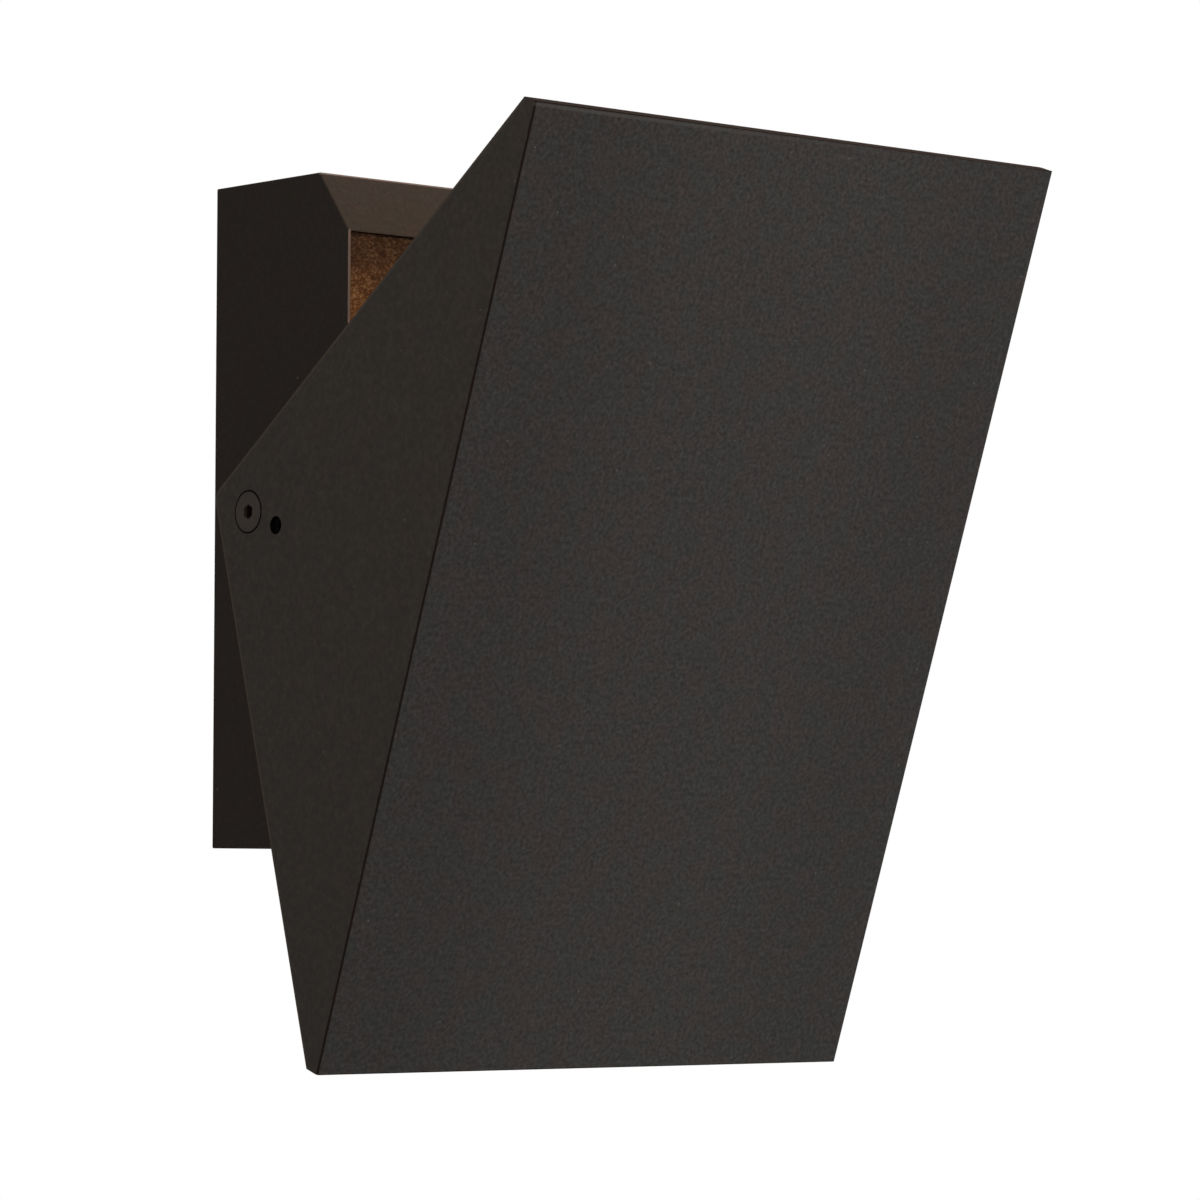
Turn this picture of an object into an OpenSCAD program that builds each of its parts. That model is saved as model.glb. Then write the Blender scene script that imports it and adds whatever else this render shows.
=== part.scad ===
// Outdoor wall sconce: a lit housing with a shield that tilts in front of it.
// X runs to the right, +Y into the wall and +Z up. The origin lies on the wall's face, behind
// the middle of the housing. Depths are measured out from the wall, so depth d is y = -d.
// Sizes are in millimetres and angles in degrees.

/* [Shield] */
// Width over both side plates
shield_w = 130; // [126:1:160]
// Height of the front plate
shield_h = 180.5; // [160:0.5:188]
// Thickness of the front plate and the side plates
shield_t = 3.5; // [2.8:0.1:4]
// From the pivot forward to the front face
shield_reach = 54.3; // [53:0.1:64]
// From the pivot back to where the side plates' edges would meet in a point
apex_back = 11.1; // [9:0.1:12]
// Radius that rounds that point
apex_r = 2; // [1:0.25:3]
// Radius along the front plate's two upright edges
edge_r = 0.5; // [0.2:0.1:1]
// Radius inside those edges
fold_r = 1.2; // [0.5:0.1:2]
// Tilt of the shield, top forward
tilt = 19.25; // [-35:0.25:35]

/* [Housing] */
// Height of the housing at the wall
housing_h = 124; // [118:1:140]
// Depth of the housing from the wall to its front
housing_d = 39.5; // [38:0.5:44]
// How far the sloped edges run in depth
slope_run = 8.5; // [6:0.5:11]
// How far the sloped edges drop in height
slope_drop = 11.3; // [9:0.1:13]
// Gap between each side of the housing and the shield
side_gap = 1; // [1:0.1:2]
// Wall thickness
wall_t = 3.5; // [3:0.1:4]
// Width of the chamfers on the outer edges
edge_c = 0.2; // [0.2:0.1:0.8]
// From the wall to the back of the web
web_back = 20.5; // [20.2:0.1:21.5]
// Thickness of the web
web_t = 3; // [2.5:0.1:3.5]
// Height of the screw bosses on the back of the web
boss_h = 3; // [2.6:0.1:3.4]
// Diameter of those bosses
boss_d = 6.5; // [6:0.1:7.5]
// Thickness of the ribs inside the sloped edges
rib_t = 2; // [1.5:0.1:3]
// Number of those ribs along each sloped edge
rib_count = 3; // [1:1:5]

/* [Wall gasket] */
// Outer lip of the back rim that hides the gasket
rim_lip = 1.5; // [1:0.1:2]
// Depth of the gasket
wall_gasket_d = 2; // [1.5:0.1:3]

/* [Mounting plate] */
// Thickness of the pressed plate
plate_t = 1.6; // [1.2:0.1:2]
// Gap between the plate and each side wall
plate_side_gap = 2.5; // [1.5:0.1:3]
// Gap between each tab and the wall it lies under
tab_gap = 0.3; // [0.2:0.05:0.6]
// Width of the tabs
tab_w = 24; // [18:1:30]
// Depth that the tabs reach out from the wall
tab_d = 15; // [14:0.5:18]
// Inner bend radius of the tabs
bend_r = 1.6; // [1:0.1:2.5]
// Shoulder of the plate under each bend
tab_root = 1; // [0.5:0.1:2]
// Distance between the two wall-box screws
box_spacing = 88.9; // [83:0.1:90]
// Width of the slots for them
slot_w = 4.6; // [4.4:0.1:5]
// Length of the slots, end to end
slot_l = 10; // [7:0.5:10.5]
// Width of the window for the supply wires
window_w = 56; // [40:1:60]
// Height of that window
window_h = 60; // [40:1:64]
// Corner radius of the window
window_r = 6; // [3:0.5:10]
// Corner radius of the plate
plate_r = 3; // [1:0.5:5]
// From the plate's left edge to the earth screw
ground_side = 14.5; // [10:0.5:17]
// From the plate's lower edge to the earth screw
ground_end = 18; // [14:0.5:34]

/* [Pivot and screws] */
// From the wall to the pivot
pivot_d = 16; // [15:0.1:16]
// Nominal diameter of the larger screws
m4_d = 4; // [3.9:0.05:4.2]
// Head diameter of the flat-head screws
flat_head_d = 7.6; // [7.6:0.1:8.4]
// Gap around a flat head in its countersink
head_gap = 0.3; // [0.15:0.05:0.3]
// Width across the flats of the flat heads' sockets
flat_socket = 2.5; // [2:0.1:3]
// Depth of those sockets
flat_socket_d = 1.7; // [1.2:0.1:2.2]
// Length of the pivot screws
pivot_screw_l = 20; // [20:0.5:22]
// Length of the housing's fixing screws
housing_screw_l = 8; // [7:0.5:10]
// Depth of the fixing screws from the wall
housing_screw_d = 9.5; // [8.5:0.5:10.5]
// Width across the flats of the lock nuts
nut_flats = 7; // [6.8:0.1:7.4]
// Thickness of the lock nuts
nut_t = 5; // [4.5:0.1:5.4]
// Gap around a lock nut in its pocket
nut_gap = 0.1; // [0.05:0.05:0.2]
// Diameter of the pivot bosses
pivot_boss_d = 12.4; // [11.5:0.1:12.6]
// Length of the pivot bosses behind the side walls
pivot_boss_l = 10.5; // [10:0.1:11.5]
// Diameter of the nylon friction washers
washer_d = 12; // [10:0.5:13]
// Gap between the washers and the shield
washer_gap = 0.1; // [0.05:0.05:0.3]
// Clearance of the pivot screws in the shield
pivot_fit = 0.05; // [0.03:0.01:0.08]
// From the pivot forward to the lock screws
lock_ahead = 8.8; // [8.4:0.1:10]
// Diameter of the lock screws' holes
lock_hole_d = 3.4; // [3.2:0.1:3.8]
// Length of the lock screws
lock_l = 3; // [2.5:0.1:3.1]
// How far the lock screws lie below the surface
lock_recess = 1.2; // [1.1:0.1:1.6]
// Width across the flats of their sockets
lock_socket = 2; // [1.5:0.1:2.2]
// Clearance of any screw in a hole that it is tapped into
thread_fit = 0.05; // [0.02:0.01:0.08]
// Clearance of any screw in a plain hole
hole_gap = 0.2; // [0.1:0.05:0.3]
// Nominal diameter of the smaller screws
m3_d = 3; // [2.8:0.1:3.2]
// Head diameter of the smaller screws
pan_d = 5.4; // [5:0.1:5.6]
// Head height of the smaller screws
pan_h = 1.9; // [1.6:0.1:2.2]
// Width of the slots in the screws that have one
drive_w = 0.8; // [0.6:0.1:1]
// Depth of the blind holes in the bosses, past the web's face
blind_d = 4.5; // [4:0.1:4.8]

/* [Lamp] */
// Thickness of the lens
lens_t = 3; // [2.5:0.1:3.5]
// How far the lens lies behind the housing's front
lens_recess = 0.8; // [0.5:0.1:1.2]
// Gap around the lens
lens_gap = 0.2; // [0.2:0.05:0.5]
// Lip beside the lens, left and right
side_lip = 0.6; // [0.5:0.1:1]
// Lip beside the lens, top and bottom
end_lip = 0.2; // [0.1:0.05:0.5]
// Thickness of the silicone seal under the lens
seal_t = 1; // [0.8:0.1:1.4]
// Thickness of the lamp's board
board_t = 1.6; // [1.2:0.1:2]
// Margin between the board and the chamber, left and right
board_side = 15; // [13:0.5:18]
// Margin between the board and the chamber, top and bottom
board_end = 9; // [8.6:0.1:10]
// Margin of the tray's floor inside the board's edge
tray_margin = 4; // [3.6:0.1:5]
// Thickness of the tray
tray_t = 1; // [0.8:0.1:1.3]
// Gap between the tray's mouth and the chamber
tray_gap = 0.5; // [0.3:0.1:0.8]
// From the tray floor's edge to each board screw
board_screw_in = 4; // [3.6:0.1:5]
// Distance between neighbouring chips
chip_pitch = 18; // [14:1:20]
// Width of a chip
chip_w = 3; // [2.4:0.1:3.6]
// Height of a chip
chip_h = 0.7; // [0.5:0.1:0.9]
// Least distance from a chip to the tray floor's edge
chip_edge = 8; // [7:0.5:10]
// Gap around a chip in the tray's floor
chip_gap = 0.5; // [0.3:0.1:0.8]
// Length of the board screws
board_screw_l = 6; // [5:0.1:6.2]

/* [Driver and wiring] */
// From the housing's left wall to the driver's left end
driver_left = 18; // [15:0.5:24]
// Height of the case as it hangs
driver_h = 34; // [30:1:36]
// Thickness of the case
driver_t = 12; // [10:0.5:13]
// Corner radius of the case
driver_r = 2.5; // [1.5:0.5:4]
// From the housing's right wall to the driver's right end
driver_right = 34; // [32:0.5:38]
// From the housing's top wall to the driver's top
driver_top = 13; // [12:0.5:15]
// Length of the driver's ears
ear_l = 6.5; // [6.2:0.1:8]
// Height of the ears
ear_h = 10; // [8:0.5:14]
// Thickness of the ears
ear_t = 1.5; // [1.2:0.1:2]
// Length of the screws through the ears and the terminal block's feet
web_screw_l = 5; // [4:0.1:5.2]
// Number of poles of the terminal block
poles = 3; // [2:1:3]
// Distance between poles
pole_pitch = 8; // [7:0.5:9]
// Height of the terminal block
block_h = 16; // [14:0.5:20]
// Thickness of the terminal block
block_t = 11; // [9:0.5:12]
// Length of the block's feet
foot_l = 6.5; // [6.2:0.1:8]
// Width of the wire entries
entry_w = 3.2; // [2.8:0.1:3.6]
// Depth of the wire entries
entry_d = 6; // [5:0.5:6.5]
// Diameter of the clamp screws
clamp_d = 3.4; // [3:0.1:3.8]
// How far the clamp screws lie below the block's face
clamp_recess = 1; // [0.5:0.1:2]
// Diameter of the driver's supply leads
supply_d = 1.8; // [1.6:0.1:2.2]
// Free length of those leads
supply_l = 16; // [12:0.5:18]
// How far they reach into the block
supply_in = 4; // [3:0.5:4.5]
// Diameter of the lamp's leads
lead_d = 1.3; // [1.1:0.05:1.4]
// Distance between the two leads
lead_pitch = 1.6; // [1.5:0.05:1.7]
// Bend radius of the leads behind the web
lead_bend = 4; // [3:0.5:5]
// Bend radius of the leads over the board
pad_bend = 2; // [1.6:0.1:2.2]
// How far the leads reach onto the board
pad_in = 1.2; // [0.8:0.1:1.4]
// Gap between the leads and the board, filled by solder
pad_gap = 0.1; // [0.05:0.05:0.2]
// Depth of the leads' middle where they leave the driver
lead_out_d = 11.5; // [10:0.5:12.5]
// From the driver's right end to the grommet
grommet_right = 10; // [9:0.5:12]
// From the chamber's top to the grommet
grommet_down = 4.5; // [4.3:0.1:4.7]
// Bore of the grommet
grommet_bore = 3.3; // [3.2:0.1:3.6]
// Diameter of the grommet in the web
grommet_d = 6; // [5.5:0.1:6.5]
// Diameter of the grommet's flanges
flange_d = 8; // [7.6:0.1:8.2]
// Thickness of the grommet's flanges
flange_t = 1; // [0.8:0.1:1.4]

/* [Hidden] */
$fn = 64;
over = 1;

bronze = [0.2, 0.18, 0.17];
zinc = [0.72, 0.73, 0.72];
steel = [0.6, 0.6, 0.58];
brass = [0.72, 0.56, 0.26];
black = [0.08, 0.08, 0.08];
white = [0.93, 0.93, 0.9];
amber = [0.42, 0.26, 0.13];
chip_yellow = [0.92, 0.8, 0.35];
nylon = [0.85, 0.83, 0.76];
seal_grey = [0.55, 0.55, 0.53];

housing_w = shield_w - 2 * (shield_t + side_gap);
flat_d = housing_d - slope_run;
front_h = housing_h - 2 * slope_drop;
housing_points = [
    [0, housing_h / 2], [flat_d, housing_h / 2], [housing_d, front_h / 2],
    [housing_d, -front_h / 2], [flat_d, -housing_h / 2], [0, -housing_h / 2]
];
slope_angle = atan2(slope_drop, slope_run);
cavity_w = housing_w - 2 * wall_t;
cavity_h = housing_h - 2 * wall_t;
chamber_w = cavity_w;
chamber_h = front_h - 2 * wall_t;
web_front = web_back + web_t;
boss_back = web_back - boss_h;

pocket_w = housing_w - 2 * side_lip;
pocket_h = front_h - 2 * end_lip;
lens_back = housing_d - lens_recess - lens_t;
ledge_d = lens_back - seal_t;
core_front = ledge_d - wall_t;

board_w = chamber_w - 2 * board_side;
board_h = chamber_h - 2 * board_end;
board_front = web_front + board_t;
floor_w = board_w - 2 * tray_margin;
floor_h = board_h - 2 * tray_margin;
floor_front = board_front + tray_t;
board_screw_x = floor_w / 2 - board_screw_in;
board_screw_z = floor_h / 2 - board_screw_in;
chip_cols = floor((floor_w - 2 * chip_edge) / chip_pitch) + 1;
chip_rows = floor((floor_h - 2 * chip_edge) / chip_pitch) + 1;

plate_w = cavity_w - 2 * plate_side_gap;
tab_face = cavity_h / 2 - tab_gap;
bend_out = bend_r + plate_t;
plate_h = 2 * (tab_face - bend_out - tab_root);
ground_x = plate_w / 2 - ground_side;
ground_z = plate_h / 2 - ground_end;

head_h = (flat_head_d - m4_d) / 2;
pocket_floor = cavity_w / 2 - pivot_boss_l + nut_t + nut_gap;
inner_face = shield_w / 2 - shield_t;
washer_t = side_gap - washer_gap;

driver_w = cavity_w - driver_left - driver_right;
driver_x = (driver_left - driver_right) / 2;
driver_z = cavity_h / 2 - driver_top - driver_h / 2;
ear_x = driver_w / 2 + ear_l / 2;
block_w = poles * pole_pitch;
block_z = driver_z - driver_h / 2 - supply_l - block_h / 2;
block_back = boss_back - block_t;
entry_mid = block_back + block_t / 2;
foot_x = block_w / 2 + foot_l / 2;
grommet_x = driver_x + driver_w / 2 + grommet_right;
grommet_z = chamber_h / 2 - grommet_down;

apex_angle = atan2(shield_h / 2, shield_reach - shield_t + apex_back);
apex_mid = apex_r / sin(apex_angle) - apex_back;
apex_steps = 10;
rear_edge = concat(
    [[shield_reach - shield_t, shield_h / 2]],
    [for (i = [0 : apex_steps])
        let (turn = 90 + apex_angle + i * (180 - 2 * apex_angle) / apex_steps)
        [apex_mid + apex_r * cos(turn), apex_r * sin(turn)]],
    [[shield_reach - shield_t, -shield_h / 2]]
);

// Runs an outline drawn in (depth, height) across the width w
module side_view(w) {
    rotate([90, 0, -90]) linear_extrude(w, center = true) children();
}

// Runs an outline drawn in (x, height) from depth d0 out to depth d1
module front_view(d0, d1) {
    translate([0, -d0, 0]) rotate([90, 0, 0]) linear_extrude(d1 - d0) children();
}

module left_and_right() {
    children();
    mirror([1, 0, 0]) children();
}

module top_and_bottom() {
    children();
    mirror([0, 0, 1]) children();
}

// Puts children at the pivot, turned with the shield
module on_shield() {
    translate([0, -pivot_d, 0]) rotate([tilt, 0, 0]) children();
}

// Points a child's +Z out of the right-hand side, from distance x at depth d
module out_of_side(x, d) {
    translate([x, -d, 0]) rotate([0, 90, 0]) children();
}

// Points a child's +Z at the wall, from depth d at (x, z)
module to_wall(x, d, z) {
    translate([x, -d, z]) rotate([-90, 0, 0]) children();
}

// Points a child's +Z out of the front, from depth d at (x, z)
module to_front(x, d, z) {
    translate([x, -d, z]) rotate([90, 0, 0]) children();
}

module rounded(w, h, r) {
    square([w - 2 * r, h], center = true);
    square([w, h - 2 * r], center = true);
    for (sx = [-1, 1], sy = [-1, 1]) translate([sx * (w / 2 - r), sy * (h / 2 - r)]) circle(r);
}

module slot(l, w) {
    square([l - w, w], center = true);
    for (s = [-1, 1]) translate([s * (l - w) / 2, 0]) circle(d = w);
}

module hexagon(flats, h) {
    cylinder(d = flats / cos(30), h = h, $fn = 6);
}

// Chamfers where an outline's sides, given in the order front, top, back, bottom, meet a prism's two ends
module end_chamfers(points, w, c) {
    bar = 10 * c; // thick enough for the cutting bars to leave the prism on all their other sides
    for (i = [0 : len(points) - 2]) {
        run = points[i + 1] - points[i];
        mid = (points[i + 1] + points[i]) / 2;
        left_and_right() translate([w / 2, -mid[0], mid[1]])
            rotate([atan2(run[1], -run[0]), 0, 0]) rotate([0, 45, 0])
                translate([-bar / 2, -(norm(run) + bar) / 2, -c / sqrt(2)])
                    cube([bar, norm(run) + bar, bar]);
    }
}

// Flat-head socket screw: its top is at the origin and its shank runs down
module flat_screw(l) {
    difference() {
        union() {
            translate([0, 0, -l]) cylinder(d = m4_d, h = l);
            translate([0, 0, -head_h]) cylinder(d1 = m4_d, d2 = flat_head_d, h = head_h);
        }
        translate([0, 0, -flat_socket_d]) hexagon(flat_socket, flat_socket_d + over);
    }
}

// Countersink for that head, with a hole of diameter d below it
module flat_seat(l, d) {
    seat_d = flat_head_d + 2 * head_gap;
    seat_h = (seat_d - d) / 2;
    translate([0, 0, -l]) cylinder(d = d, h = l);
    translate([0, 0, -seat_h]) cylinder(d1 = d, d2 = seat_d, h = seat_h);
    cylinder(d = seat_d, h = over);
}

// Pan-head screw with a slot: its head stands on the origin and its shank runs down
module pan_screw(l) {
    difference() {
        union() {
            translate([0, 0, -l]) cylinder(d = m3_d, h = l);
            cylinder(d = pan_d, h = pan_h);
        }
        translate([0, 0, pan_h]) cube([pan_d + over, drive_w, pan_h], center = true);
    }
}

module tab_side() {
    bend_z = tab_face - bend_out;
    translate([0, plate_h / 2 - over]) square([plate_t, bend_z - plate_h / 2 + over]);
    translate([bend_out, tab_face - plate_t]) square([tab_d - bend_out, plate_t]);
    intersection() {
        translate([bend_out, bend_z]) difference() {
            circle(bend_out);
            circle(bend_r);
        }
        translate([0, bend_z]) square(bend_out);
    }
}

module mounting_plate() {
    color(zinc) difference() {
        union() {
            front_view(0, plate_t) rounded(plate_w, plate_h, plate_r);
            top_and_bottom() side_view(tab_w) tab_side();
        }
        front_view(-over, plate_t + over) {
            rounded(window_w, window_h, window_r);
            for (s = [-1, 1]) translate([s * box_spacing / 2, 0]) slot(slot_l, slot_w);
            translate([-ground_x, -ground_z]) circle(d = m4_d + 2 * thread_fit);
        }
        top_and_bottom() translate([0, -housing_screw_d, tab_face - plate_t - over])
            cylinder(d = m4_d + 2 * thread_fit, h = plate_t + 2 * over);
    }
}

module ground_screw() {
    color(brass) to_front(-ground_x, 0, -ground_z) difference() {
        union() {
            cylinder(d = m4_d, h = plate_t);
            translate([0, 0, plate_t]) cylinder(d = flat_head_d, h = head_h);
        }
        translate([0, 0, plate_t + head_h])
            cube([flat_head_d + over, drive_w, head_h], center = true);
    }
}

module gasket_ring() {
    difference() {
        square([housing_w - 2 * rim_lip, housing_h - 2 * rim_lip], center = true);
        square([cavity_w, cavity_h], center = true);
    }
}

module wall_gasket() {
    color(black) front_view(0, wall_gasket_d) gasket_ring();
}

module housing_side() {
    polygon(housing_points);
}

// Hollow inside each sloped edge, drawn in (depth, height), one wall thick all round
module core_side() {
    intersection() {
        translate([web_back - over, chamber_h / 2 + wall_t])
            square([core_front - web_back + over, cavity_h / 2 - chamber_h / 2 - wall_t]);
        translate([-wall_t / sin(slope_angle), 0]) housing_side();
    }
}

module slope_cores() {
    bay = (cavity_w - rib_count * rib_t) / (rib_count + 1);
    for (i = [0 : rib_count])
        translate([i * (bay + rib_t) + bay / 2 - cavity_w / 2, 0, 0]) side_view(bay) core_side();
}

// Places of the bosses on the back of the web, each as [x, z]
board_screws = [for (sx = [-1, 1], sz = [-1, 1]) [sx * board_screw_x, sz * board_screw_z]];
driver_screw_at = [for (s = [-1, 1]) [driver_x + s * ear_x, driver_z]];
block_screw_at = [for (s = [-1, 1]) [driver_x + s * foot_x, block_z]];

module housing() {
    color(bronze) difference() {
        union() {
            difference() {
                side_view(housing_w) housing_side();
                front_view(-over, web_back) square([cavity_w, cavity_h], center = true);
                front_view(web_front, housing_d + over) square([chamber_w, chamber_h], center = true);
                top_and_bottom() slope_cores();
            }
            left_and_right() out_of_side(cavity_w / 2 - pivot_boss_l, pivot_d)
                cylinder(d = pivot_boss_d, h = pivot_boss_l + wall_t / 2);
            for (p = concat(board_screws, driver_screw_at, block_screw_at))
                to_front(p[0], boss_back, p[1]) cylinder(d = boss_d, h = boss_h + web_t / 2);
        }
        front_view(ledge_d, housing_d + over) square([pocket_w, pocket_h], center = true);
        front_view(-over, wall_gasket_d) gasket_ring();
        left_and_right() out_of_side(cavity_w / 2 - pivot_boss_l - over, pivot_d) {
            cylinder(d = m4_d + 2 * hole_gap, h = pivot_boss_l + wall_t + 2 * over);
            hexagon(nut_flats + 2 * nut_gap, nut_t + nut_gap + over);
        }
        top_and_bottom() translate([0, -housing_screw_d, housing_h / 2])
            flat_seat(wall_t + over, m4_d + 2 * hole_gap);
        for (p = board_screws)
            to_wall(p[0], web_front + over, p[1])
                cylinder(d = m3_d + 2 * thread_fit, h = blind_d + over);
        for (p = concat(driver_screw_at, block_screw_at))
            to_front(p[0], boss_back - over, p[1])
                cylinder(d = m3_d + 2 * thread_fit, h = blind_d + over);
        to_wall(grommet_x, web_front + over, grommet_z) cylinder(d = grommet_d, h = web_t + 2 * over);
        end_chamfers([for (i = [2 : -1 : 0]) housing_points[i]], housing_w, edge_c);
        end_chamfers([for (i = [5 : -1 : 3]) housing_points[i]], housing_w, edge_c);
    }
}

module housing_screws() {
    color(steel) top_and_bottom() translate([0, -housing_screw_d, housing_h / 2])
        flat_screw(housing_screw_l);
}

module led_driver() {
    color(white) translate([driver_x, 0, driver_z]) {
        front_view(boss_back - driver_t, boss_back) rounded(driver_w, driver_h, driver_r);
        front_view(boss_back - ear_t, boss_back) difference() {
            square([driver_w + 2 * ear_l, ear_h], center = true);
            for (s = [-1, 1]) translate([s * ear_x, 0]) circle(d = m3_d + 2 * hole_gap);
        }
    }
}

module driver_screws() {
    color(steel) for (p = driver_screw_at)
        to_wall(p[0], boss_back - ear_t, p[1]) pan_screw(web_screw_l);
}

module terminal_block() {
    color(nylon) translate([driver_x, 0, block_z]) difference() {
        union() {
            front_view(block_back, boss_back) square([block_w, block_h], center = true);
            front_view(boss_back - ear_t, boss_back)
                square([block_w + 2 * foot_l, block_h / 2], center = true);
        }
        for (s = [-1, 1]) to_wall(s * foot_x, boss_back + over, 0)
            cylinder(d = m3_d + 2 * hole_gap, h = ear_t + 2 * over);
        for (i = [0 : poles - 1]) translate([(i - (poles - 1) / 2) * pole_pitch, 0, 0]) {
            top_and_bottom() translate([-entry_w / 2, -entry_mid - entry_w / 2, block_h / 2 - entry_d])
                cube([entry_w, entry_w, entry_d + over]);
            to_wall(0, entry_mid - entry_w / 2, 0)
                cylinder(d = clamp_d + 2 * thread_fit, h = block_t);
        }
    }
}

module terminal_clamps() {
    clamp_l = entry_mid - entry_w / 2 - block_back - clamp_recess;
    color(brass) for (i = [0 : poles - 1])
        to_wall(driver_x + (i - (poles - 1) / 2) * pole_pitch, entry_mid - entry_w / 2, block_z)
            difference() {
                cylinder(d = clamp_d, h = clamp_l);
                translate([0, 0, clamp_l]) cube([clamp_d + over, drive_w, clamp_l / 2], center = true);
            }
}

module terminal_screws() {
    color(steel) for (p = block_screw_at)
        to_wall(p[0], boss_back - ear_t, p[1]) pan_screw(web_screw_l);
}

module driver_leads() {
    color(black) for (s = [-1, 1])
        translate([driver_x + s * (poles - 1) / 2 * pole_pitch, -entry_mid, block_z + block_h / 2 - supply_in])
            cylinder(d = supply_d, h = supply_l + supply_in);
}

module wire_grommet() {
    color(black) to_wall(grommet_x, web_front + flange_t, grommet_z) difference() {
        union() {
            cylinder(d = grommet_d, h = web_t + 2 * flange_t);
            cylinder(d = flange_d, h = flange_t);
            translate([0, 0, web_t + flange_t]) cylinder(d = flange_d, h = flange_t);
        }
        translate([0, 0, -over]) cylinder(d = grommet_bore, h = web_t + 2 * flange_t + 2 * over);
    }
}

// One lead: out of the driver's end, through the grommet and down onto the board
module led_lead(s) {
    bend = lead_bend + s * lead_pitch / 2;
    end_x = driver_x + driver_w / 2;
    turn_x = grommet_x - lead_bend;
    turn_d = lead_out_d + lead_bend;
    pad_d = board_front + pad_gap + lead_d / 2;
    pad_z = board_h / 2 - pad_in;
    translate([end_x, bend - turn_d, grommet_z]) rotate([0, 90, 0])
        cylinder(d = lead_d, h = turn_x - end_x);
    translate([turn_x, -turn_d, grommet_z]) rotate_extrude(angle = 90)
        translate([bend, 0]) circle(d = lead_d);
    translate([turn_x + bend, -turn_d, grommet_z]) rotate([90, 0, 0])
        cylinder(d = lead_d, h = pad_d - pad_bend - turn_d);
    translate([turn_x + bend, pad_bend - pad_d, grommet_z - pad_bend]) rotate([90, 0, -90])
        rotate_extrude(angle = 90) translate([pad_bend, 0]) circle(d = lead_d);
    translate([turn_x + bend, -pad_d, pad_z])
        cylinder(d = lead_d, h = grommet_z - pad_bend - pad_z);
}

module led_leads() {
    color("firebrick") led_lead(-1);
    color(black) led_lead(1);
}

module led_board() {
    color(white) front_view(web_front, board_front) difference() {
        square([board_w, board_h], center = true);
        for (p = board_screws) translate(p) circle(d = m3_d + 2 * hole_gap);
    }
}

// Places its children at every chip
module at_chips() {
    for (i = [0 : chip_cols - 1], j = [0 : chip_rows - 1])
        translate([(i - (chip_cols - 1) / 2) * chip_pitch, (j - (chip_rows - 1) / 2) * chip_pitch])
            children();
}

module led_packages() {
    color(chip_yellow) front_view(board_front, board_front + chip_h)
        at_chips() square(chip_w, center = true);
}

module led_board_screws() {
    color(steel) for (p = board_screws) to_front(p[0], floor_front, p[1]) pan_screw(board_screw_l);
}

// Flared solid from the tray's floor at depth d0 to its mouth at depth d1, drawn in by t
module tray_form(d0, d1, t) {
    hull() {
        front_view(d0, d0 + t) square([floor_w, floor_h], center = true);
        front_view(d1 - t, d1)
            square([chamber_w - 2 * tray_gap, chamber_h - 2 * tray_gap], center = true);
    }
}

module reflector_tray() {
    mouth_d = ledge_d - lens_gap;
    color(white) difference() {
        tray_form(board_front, mouth_d, tray_t);
        hull() {
            front_view(floor_front, floor_front + tray_t)
                square([floor_w - 2 * tray_t, floor_h - 2 * tray_t], center = true);
            front_view(mouth_d, mouth_d + over)
                square([chamber_w - 2 * tray_gap - 2 * tray_t, chamber_h - 2 * tray_gap - 2 * tray_t],
                    center = true);
        }
        front_view(board_front - over, floor_front + over) {
            at_chips() square(chip_w + 2 * chip_gap, center = true);
            for (p = board_screws) translate(p) circle(d = m3_d + 2 * hole_gap);
        }
    }
}

module lens_gasket() {
    color(seal_grey) front_view(ledge_d, lens_back) difference() {
        square([pocket_w - 2 * lens_gap, pocket_h - 2 * lens_gap], center = true);
        square([chamber_w, chamber_h], center = true);
    }
}

module lens() {
    color(amber) front_view(lens_back, lens_back + lens_t)
        square([pocket_w - 2 * lens_gap, pocket_h - 2 * lens_gap], center = true);
}

module pivot_nuts() {
    color(steel) left_and_right() out_of_side(pocket_floor - nut_t, pivot_d) difference() {
        hexagon(nut_flats, nut_t);
        translate([0, 0, -over]) cylinder(d = m4_d + 2 * thread_fit, h = nut_t + 2 * over);
    }
}

module pivot_screws() {
    color(steel) left_and_right() out_of_side(shield_w / 2, pivot_d) flat_screw(pivot_screw_l);
}

module pivot_washers() {
    color(nylon) left_and_right() out_of_side(housing_w / 2, pivot_d) difference() {
        cylinder(d = washer_d, h = washer_t);
        translate([0, 0, -over]) cylinder(d = m4_d + 2 * hole_gap, h = washer_t + 2 * over);
    }
}

// Side view of the shield, in (distance ahead of the pivot, height)
module shield_side() {
    polygon(concat(rear_edge, [[shield_reach, -shield_h / 2], [shield_reach, shield_h / 2]]));
}

// Outline open at the back, with its two front corners rounded, drawn in (x, -distance ahead)
module channel(w, reach, r) {
    tail = apex_back + over;
    translate([-w / 2, r - reach]) square([w, reach - r + tail]);
    translate([r - w / 2, -reach]) square([w - 2 * r, reach + tail]);
    for (s = [-1, 1]) translate([s * (w / 2 - r), r - reach]) circle(r);
}

module shield() {
    color(bronze) on_shield() difference() {
        intersection() {
            linear_extrude(shield_h, center = true) difference() {
                channel(shield_w, shield_reach, edge_r);
                channel(2 * inner_face, shield_reach - shield_t, fold_r);
            }
            side_view(shield_w) shield_side();
        }
        end_chamfers(rear_edge, shield_w, edge_c);
        left_and_right() {
            out_of_side(shield_w / 2, 0) flat_seat(shield_t + over, m4_d + 2 * pivot_fit);
            out_of_side(inner_face - over, lock_ahead) cylinder(d = lock_hole_d, h = shield_t + 2 * over);
        }
    }
}

module lock_screws() {
    color(steel) on_shield() left_and_right()
        out_of_side(shield_w / 2 - lock_recess - lock_l, lock_ahead) difference() {
            cylinder(d = lock_hole_d - 2 * thread_fit, h = lock_l);
            translate([0, 0, lock_l / 2]) hexagon(lock_socket, lock_l);
        }
}

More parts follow.
